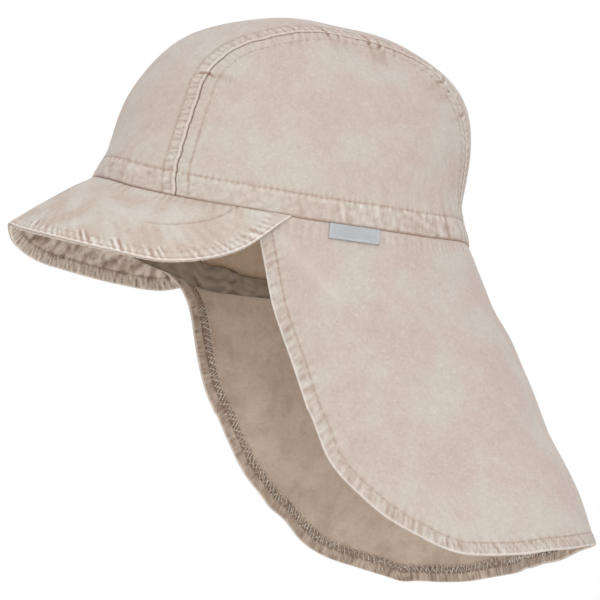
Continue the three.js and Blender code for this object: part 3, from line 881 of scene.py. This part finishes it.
def makePeak():
    us = evenly(lambda u: peakFace(u, np.ones_like(u)), peak["columnPitch"])
    vs = layRows(lambda v: peakFace(us, np.full(len(us), v)), [0, 0.6, 1.3, 2.1, 3], peakEdgeRows, 30)
    wide = us[:, None] + 0 * vs
    plain = peakFace(wide, vs)
    upward = gridNormals(plain, -1)
    ends = rimOutward(np.radians([peak["endTurn"]]))[0]
    for column, side in ((0, -1), (-1, 1)):
        upward[column] = ends * (side, 1, 1)
    for _ in range(2):
        upward[1:-1] = unit(upward[:-2] + 2 * upward[1:-1] + upward[2:])
    whole = np.linspace(0, 1, samples["peak"])
    away, along = nearest(plain, peakFace(whole, np.ones_like(whole)))
    rootAway, rootAlong = nearest(plain, peakFace(whole, np.zeros_like(whole)))
    thin = smoothStep(away + rootAway, 3, 12)
    # ribs run aslant from the edge inwards and die out towards the middle
    lean = 0.7 * np.where(plain[..., 0] < 0, -1, 1) * smoothStep(np.abs(plain[..., 0]), 5, 30)
    reach = 4.8 + 1.8 * gathers(along, 9, 87)
    edgeRibs = gathers(along + lean * away, 3.7, 81) * band(away, 0.9, reach, 2.6)
    slack = gathers(along + lean * away, 7.7, 82) * band(away, 4, 14, 8)
    broad = 0.45 * folds(plain, 34, 83) * smoothStep(rootAway, 1, 12) * smoothStep(away, 1, 9)
    rootRibs = gathers(rootAlong, 3.7, 84) * smoothStep(9 - rootAway, 0, 8)
    edgeRibs = edgeRibs + 0.35 * gathers(along - 0.4 * lean * away, 2.6, 88) * band(away, 0.6, 3.4, 1.5)
    edgeRibs = edgeRibs * (0.75 + 0.3 * folds(plain, 11, 89))
    shared = thin * (0.33 * edgeRibs + 0.045 * slack + 0.07 * rootRibs)
    atSides = smoothStep(np.abs(plain[..., 0]), 50, 58)
    dashes = 0.6 + 0.5 * gathers(along, 2.9, 90)
    top = (-0.16 * dashes * dip(away, peak["edgeStitch"], 0.5)
           - 0.22 * atSides * dip(away, peak["arcStitch"], 0.4)
           - 0.24 * dip(away, 1.2, 0.35) - 0.25 * dip(rootAway, 0, 0.5)) * thin
    top = top - edgeRound(away, edgeShare * peak["cloth"])
    crumple = 0.2 * folds(plain, 6, 86, 24) * smoothStep(away, 2, 8)
    under = (-0.24 * dip(away, peak["underStitch"], 0.7)
             + 0.26 * gathers(along - 0.2 * away, 2.3, 85) * band(away, 0.7, 5.2, 1.2)) * thin
    under = under + crumple - edgeRound(away, edgeShare * peak["cloth"])
    depths = np.array([0, peak["cloth"], peak["cloth"] + peak["gap"], 2 * peak["cloth"] + peak["gap"]])
    layers = [plain + upward * (shared + broad - depth)[..., None] for depth in depths]
    layers[0] = layers[0] + upward * top[..., None]
    layers[3] = layers[3] - upward * under[..., None]
    # the peak's root runs on into the rim's seam: all the way in front of the flap, and over the
    # flap just far enough to close the slot
    aside = np.abs(mix(-1, 1, wide))
    angle = mix(-math.pi / 2, math.radians(peak["endTurn"]), aside)
    into = rimOutward(angle) * np.stack([np.where(wide < 0.5, -1.0, 1.0)] + 2 * [np.ones_like(wide)], -1)
    overFlap = smoothStep(aside, *peak["overFlap"])
    beforeFlap = peakLayers * (smoothStep(aside, *peak["stepOut"]) - overFlap)
    for k, endTuck in enumerate([peak["upperTuck"]] * 2 + [peak["lowerTuck"]] * 2):
        tuck = (beforeFlap + endTuck * overFlap) * smoothStep(6 - rootAway, 0, 6)
        layers[k] = layers[k] - into * tuck[..., None]
    none = np.zeros_like(shared)
    edgeWear = 0.65 * smoothStep(1.0 - away, 0, 0.5) + 0.12 * smoothStep(6 - away, 0, 5)
    # grooves get painted shade and ridges a painted highlight; the edges wear pale
    topTints = tintsOf(1.25 * (shared + top), none, edgeWear)
    underTints = tintsOf(none, 1.2 * (under - shared), 0, 0.7 * smoothStep(1.2 - away, 0, 0.7)
                         + 0.15 * smoothStep(6 - away, 0, 4))
    upper = makeSheet("peak_upper", layers[0], layers[1], topTints, -1, [wornCotton, gripCotton])
    lower = makeSheet("peak_lower", layers[2], layers[3], underTints, -1, [gripCotton, gripCotton])
    for piece, node in ((upper, "peak_top"), (lower, "peak_under")):
        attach(piece, "root")
        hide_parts(node)
    inside = slice(14, -14)
    below = lineAt(layers[3][inside], -upward[inside], away[inside], peak["underStitch"])
    sewPaths("peak_stitches", [below], stitchTree, topStitch)


makePeak()

# The neck flap, cut flared and hemmed at its free edges.
flap = {
    "startTurn": -30, "inset": 0.3, "gap": 0.08, "cloth": 1.1, "hemTuck": 6.5,
    "hemWidth": 6.0, "innerHem": 5.2, "overlock": 3.4, "overlockTop": -34, "columnPitch": 1.05, "rows": 44,
    # the hem falls in behind the head, more and more between these turns, over the drop's end
    "tuckTurns": (25, 60), "tuckFrom": 0.7, "tuckOver": 0.3,
    # the flare's curl is given per this drop, and flutes grow with this power of it
    "flareDrop": 100, "fluteGrowth": 1.5,
}
flapTable = {
    "turn": [-26, -20, -16, -12, -8, -4, 0, 4, 10, 20, 30, 45, 56, 66, 78, 90],
    "left": [1.2, 3, 19, 40, 56, 71.2, 90, 111.5, 126.6, 142, 151.8, 145, 139.4, 138, 140, 140],
    "right": [1, 4.2, 9, 20, 39.5, 53.8, 64, 76.8, 92.4, 107.3, 121.9, 130.5, 133, 133.4, 136, 140],
}
flareTable = {
    "turn": [-26, -20, 17, 53, 90],
    "left": [0.05, 0.05, 0.18, 0.445, 0.72], "leftCurl": [0.02, 0.02, 0.06, 0.1, -0.172],
    "right": [-0.01, -0.01, 0.13, 0.54, 0.72], "rightCurl": [-0.03, -0.03, 0.07, 0.14, -0.172],
}
# Soft flutes of the flap: side, turn, width and depth.
flutes = [(1, 6, 9, 1.6), (1, 33, 10, -2.4), (1, 55, 9, 1.8), (1, 73, 8, -1.4),
          (-1, 12, 9, -1.8), (-1, 36, 9, 2.4), (-1, 58, 10, -1.9), (-1, 76, 8, 0.9)]
# A soft crease runs back and down the left side from the flap's front: y and z of its ends. Its low ridge
# gets a painted highlight.
sideCrease = {"from": (-21, -30), "to": (11, -56), "width": 2.8, "height": 0.1}
# Small bulges of the hem line: side, turn, width and how far down.
hemBulges = [(-1, 18, 2.4, 1.4), (-1, 23.5, 2.6, -1.0), (-1, 45.5, 2.2, 1.2), (-1, 37, 4, -0.8),
             (1, 40, 3, 0.5)]


def flapSide(side, turn, v):
    name = "left" if side > 0 else "right"
    fall = readTable(flapTable, "turn", name, turn)
    for bulgeSide, middle, width, down in hemBulges:
        if bulgeSide == side:
            fall = fall + down * dip(turn, middle, width)
    drop = v * fall
    slope = readTable(flareTable, "turn", name, turn)
    curl = readTable(flareTable, "turn", name + "Curl", turn)
    out = drop * (slope + curl * drop / flap["flareDrop"]) - flap["inset"]
    for fluteSide, middle, width, depth in flutes:
        if fluteSide == side:
            out = out + depth * dip(turn, middle, width) * (drop / flap["flareDrop"]) ** flap["fluteGrowth"]
    low = np.clip((v - flap["tuckFrom"]) / flap["tuckOver"], 0, 1) ** 2
    out = out - flap["hemTuck"] * smoothStep(turn, *flap["tuckTurns"]) * low
    angle = np.radians(turn)
    point = rimPoint(angle) + rimOutward(angle) * out[..., None]
    return np.stack([point[..., 0] * side, point[..., 1], point[..., 2] - flap["gap"] - drop], -1)


def flapFace(u, v):
    u, v = np.broadcast_arrays(np.asarray(u, float), np.asarray(v, float))
    turn = mix(90, flap["startTurn"], np.abs(2 * u - 1))
    return np.where((u < 0.5)[..., None], flapSide(-1, turn, v), flapSide(1, turn, v))


def makeFlap():
    us = evenly(lambda u: flapFace(u, 1.0), flap["columnPitch"])
    hemRows = [0, 0.35, 0.8, 1.5, 2.4, 3.4, 4.4, 5.2, 6.0, 6.8, 7.6, 8.6, 10, 12, 14.5]
    vs = layRows(lambda v: flapFace(us, v), [0, 0.8, 1.8, 3, 4.6], hemRows, flap["rows"])
    plain = flapFace(us[:, None], vs)
    normals = gridNormals(plain, 1)
    away, along = nearest(plain, flapFace(np.linspace(0, 1, samples["hem"]), 1.0))
    rootAway, rootAlong = nearest(plain, flapFace(np.linspace(0, 1, samples["flapRoot"]), 0.0))
    thin = smoothStep(rootAway, 0, 3)
    side = np.where(us < 0.5, -1.0, 1.0)[:, None]
    turn = mix(90, flap["startTurn"], np.abs(2 * us - 1))[:, None]
    hem, overlock = flap["hemWidth"], flap["overlock"]
    innerHem = mix(2.8, flap["innerHem"], smoothStep(turn, -18, -6))
    bottom = 0.45 + 0.55 * smoothStep(turn, 6, 24)
    ribs = gathers(along - 0.5 * side * away, 3.1, 91) + 0.6 * gathers(along - 0.2 * side * away, 2.1, 99)
    ribs = ribs * band(away, 0.9, hem - 0.9, 0.9)
    puff = 0.1 * dip(away, hem - 1.6, 1.2) + 0.1 * dip(away, 2, 1.4)
    loose = 0.08 * gathers(along - 0.3 * side * away, 5.3, 92) * band(away, 2, 7, 4)
    gathered = 0.09 * gathers(rootAlong, 3.3, 93) * smoothStep(12 - rootAway, 0, 10)
    outside = thin * (-0.18 * dip(away, hem, 0.5) + 0.17 * bottom * ribs + puff + loose + gathered)
    outside = outside + 0.07 * gathers(along, 2.9, 96) * dip(away, hem, 0.9) * thin
    start, end = np.array(sideCrease["from"]), np.array(sideCrease["to"])
    way = end - start
    offset = plain[..., 1:] - start
    share = offset @ way / (way @ way)
    aside = (offset[..., 0] * way[1] - offset[..., 1] * way[0]) / np.linalg.norm(way)
    crease = dip(aside, 0, sideCrease["width"]) * band(share, 0.1, 0.9, 0.25) * (side > 0)
    outside = outside + sideCrease["height"] * crease
    # inside, the turned-up allowance stands proud and its raw edge is overlocked
    allowance = smoothStep(innerHem + overlock - away, 0, 0.7) * thin
    innerRibs = gathers(along, 2.4, 97) * band(away, 0.9, innerHem - 0.6, 0.8)
    fray = gathers(along, 1.9, 98) * band(away, innerHem + 0.4, innerHem + overlock, 0.5)
    inside = 0.55 * allowance + thin * (0.22 * innerRibs + 0.18 * fray - 0.3 * dip(away, innerHem, 0.4))
    soft = (0.7 * folds(plain, 60, 94) + 0.3 * folds(plain, 24, 95)) * smoothStep(rootAway, 2, 30)
    rounding = edgeRound(away, edgeShare * flap["cloth"])
    outer = plain + normals * (outside + soft - rounding)[..., None]
    inner = plain + normals * (soft - flap["cloth"] + rounding - inside)[..., None]
    overlocked = band(away, innerHem, innerHem + overlock - 0.3, 0.4) * thin
    hemmed = band(away, 0, innerHem, 0.3) * thin
    # painted shade browns the cloth under the overlock threads
    innerMarks = thin * (0.22 * innerRibs + 0.2 * fray - 0.3 * dip(away, innerHem, 0.4)) - 0.3 * overlocked
    edgeWear = smoothStep(0.75 - away, 0, 0.35)
    # at its front end the far hem turns its edge to the light: a painted highlight along it
    foldHighlight = 0.9 * dip(away, innerHem, 0.8) * smoothStep(-8 - turn, 0, 5)
    blotched = 0.1 * folds(plain, 5, 100, 24) * hemmed
    # outside and inside, grooves and the cloth under the overlock get painted shade, the hem bands are a
    # little darker, ridges get a pale painted highlight, and the edges wear pale
    outerMarks = 1.2 * (outside - thin * puff) + blotched - 0.06 * hemmed
    innerMarks = 1.3 * innerMarks + 1.4 * blotched - 0.12 * hemmed
    tints = tintsOf(outerMarks, innerMarks, edgeWear, 0.8 * edgeWear + foldHighlight)
    piece = makeSheet("flap_cloth", outer, inner, tints, 1, [washedCotton, rawCotton])
    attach(piece, "root")
    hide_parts("neck_flap")
    sewPaths("flap_stitches", [lineAt(outer, normals, away, hem)], stitchTree, topStitch)
    thrown = {"Pitch": 1.5 * mm, "Half width": 1.6 * mm, "Thickness": 0.26 * mm, "Scatter": 0.6 * mm,
              "Thread": overlockCotton}
    for name, beyond, height in (("overlock_front", 1.1, 0.12), ("overlock_back", 2.3, 0.25)):
        points, outward = lineAt(inner, -normals, away - innerHem, beyond)
        low = points[:, 2] < flap["overlockTop"]
        points, outward = points[low], outward[low]
        drift = 0.35 * np.sin(arcOf(points, 0) / 4.7) + 0.25 * np.sin(arcOf(points, 0) / 2.1)
        sewPaths(name, [(points + (height + 0.2 * drift)[:, None] * outward, outward)], overlockTree, thrown)


makeFlap()

# The bare woven tab in the rim's seam.
tab = {"turn": 7.4, "width": 24.5, "length": 7.4, "thickness": 0.7, "gap": 0.3}


def makeTab():
    middle, reach = math.radians(tab["turn"]), math.radians(6)
    rimPerTurn = np.linalg.norm(rimPoint(middle + reach) - rimPoint(middle - reach)) / (2 * reach)
    halfTurn = tab["width"] / 2 / rimPerTurn
    us, vs = np.meshgrid(np.linspace(0, 1, 49), np.linspace(0, 1, 17), indexing="ij")
    turn = np.degrees(mix(middle - halfTurn, middle + halfTurn, 1 - us))
    drop = readTable(flapTable, "turn", "left", turn)
    out = rimOutward(np.radians(turn))
    plain = flapSide(1, turn, vs * tab["length"] / drop) + out * (tab["gap"] + tab["thickness"])
    across, down = us * tab["width"], vs * tab["length"]
    edge = np.minimum(np.minimum(across, tab["width"] - across), tab["length"] - down)
    border = 0.12 * smoothStep(1.4 - edge, 0, 0.5) - edgeRound(edge, 0.3)
    bow = 0.25 * np.sin(us * math.pi) * vs
    outer = plain + out * (border + bow)[..., None]
    inner = plain + out * (bow - tab["thickness"])[..., None]
    none = np.zeros_like(us)
    tints = tintsOf(none, none, 0.25 * smoothStep(1.4 - edge, 0, 0.5))
    piece = makeSheet("woven_tab", outer, inner, tints, 1, [wovenTab, wovenTab])
    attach(piece, "root")
    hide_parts("side_label")


makeTab()

# Light, floor and camera.
room = {"floor": -0.45, "floorColour": "E9E7E4", "floorRoughness": 0.9, "floorSize": 16.0,
        "horizon": 0.1, "lowLight": 0.35, "highLight": 1.0}


def makeRoom():
    mesh = bpy.data.meshes.new("floor")
    half = room["floorSize"] / 2
    corners = [(-half, -half), (half, -half), (half, half), (-half, half)]
    mesh.from_pydata([(x, y, room["floor"]) for x, y in corners], [], [(0, 1, 2, 3)])
    floor = place("floor", mesh)
    material = bpy.data.materials.new("painted_floor")
    material.use_nodes = True
    shader = material.node_tree.nodes["Principled BSDF"]
    shader.inputs["Base Color"].default_value = srgb(room["floorColour"])
    shader.inputs["Roughness"].default_value = room["floorRoughness"]
    mesh.materials.append(material)
    world = bpy.data.worlds.new("studio")
    world.use_nodes = True
    tree = world.node_tree
    tree.nodes.clear()
    direction = addNode(tree, "ShaderNodeTexCoord").outputs["Generated"]
    height = addNode(tree, "ShaderNodeSeparateXYZ", {"Vector": direction}).outputs["Z"]
    bright = addNode(tree, "ShaderNodeMapRange",
                     {"Value": height, "From Min": -room["horizon"], "From Max": room["horizon"],
                      "To Min": room["lowLight"], "To Max": room["highLight"]})
    light = addNode(tree, "ShaderNodeBackground",
                    {"Color": (1, 1, 1, 1), "Strength": bright.outputs["Result"]})
    addNode(tree, "ShaderNodeOutputWorld", {"Surface": light.outputs["Background"]})
    bpy.context.scene.world = world


def addLamp(name, spot, aim, size, watts):
    data = bpy.data.lights.new(name, "AREA")
    data.size = size
    data.energy = watts
    lamp = place(name, data)
    lamp.location = spot
    lamp.rotation_mode = "QUATERNION"
    lamp.rotation_quaternion = (Vector(aim) - Vector(spot)).to_track_quat("-Z", "Y")


makeRoom()
addLamp("key_light", (1.6, -0.8, 1.5), (0, 0, 0), 1.4, 2)
addLamp("top_light", (0.2, 0.5, 2.2), (0, 0, 0), 1.8, 3)
addLamp("low_fill", (1.58, -0.4, -0.25), (0, 0, -0.06), 1.0, 12.5)

camera = {"azimuth": 73.9, "elevation": -14.68, "roll": 7.97, "distance": 1.4,
          "target": (0, 0.0145, -0.0389), "lens": 176.76, "sensor": 36, "sees": (0.05, 30)}


def makeCamera():
    azimuth, elevation, roll = (math.radians(camera[k]) for k in ("azimuth", "elevation", "roll"))
    back = Vector((math.sin(azimuth) * math.cos(elevation), -math.cos(azimuth) * math.cos(elevation),
                   math.sin(elevation)))
    across = Vector((math.cos(azimuth), math.sin(azimuth), 0))
    above = back.cross(across)
    across, above = (across * math.cos(roll) + above * math.sin(roll),
                     above * math.cos(roll) - across * math.sin(roll))
    data = bpy.data.cameras.new("camera")
    data.lens = camera["lens"]
    data.sensor_width = camera["sensor"]
    data.clip_start, data.clip_end = camera["sees"]
    eye = place("camera", data)
    turn = Matrix((across, above, back)).transposed().to_4x4()
    eye.matrix_world = Matrix.Translation(Vector(camera["target"]) + back * camera["distance"]) @ turn
    bpy.context.scene.camera = eye
    bpy.context.scene.view_settings.view_transform = "Standard"


makeCamera()
print("room and camera made")
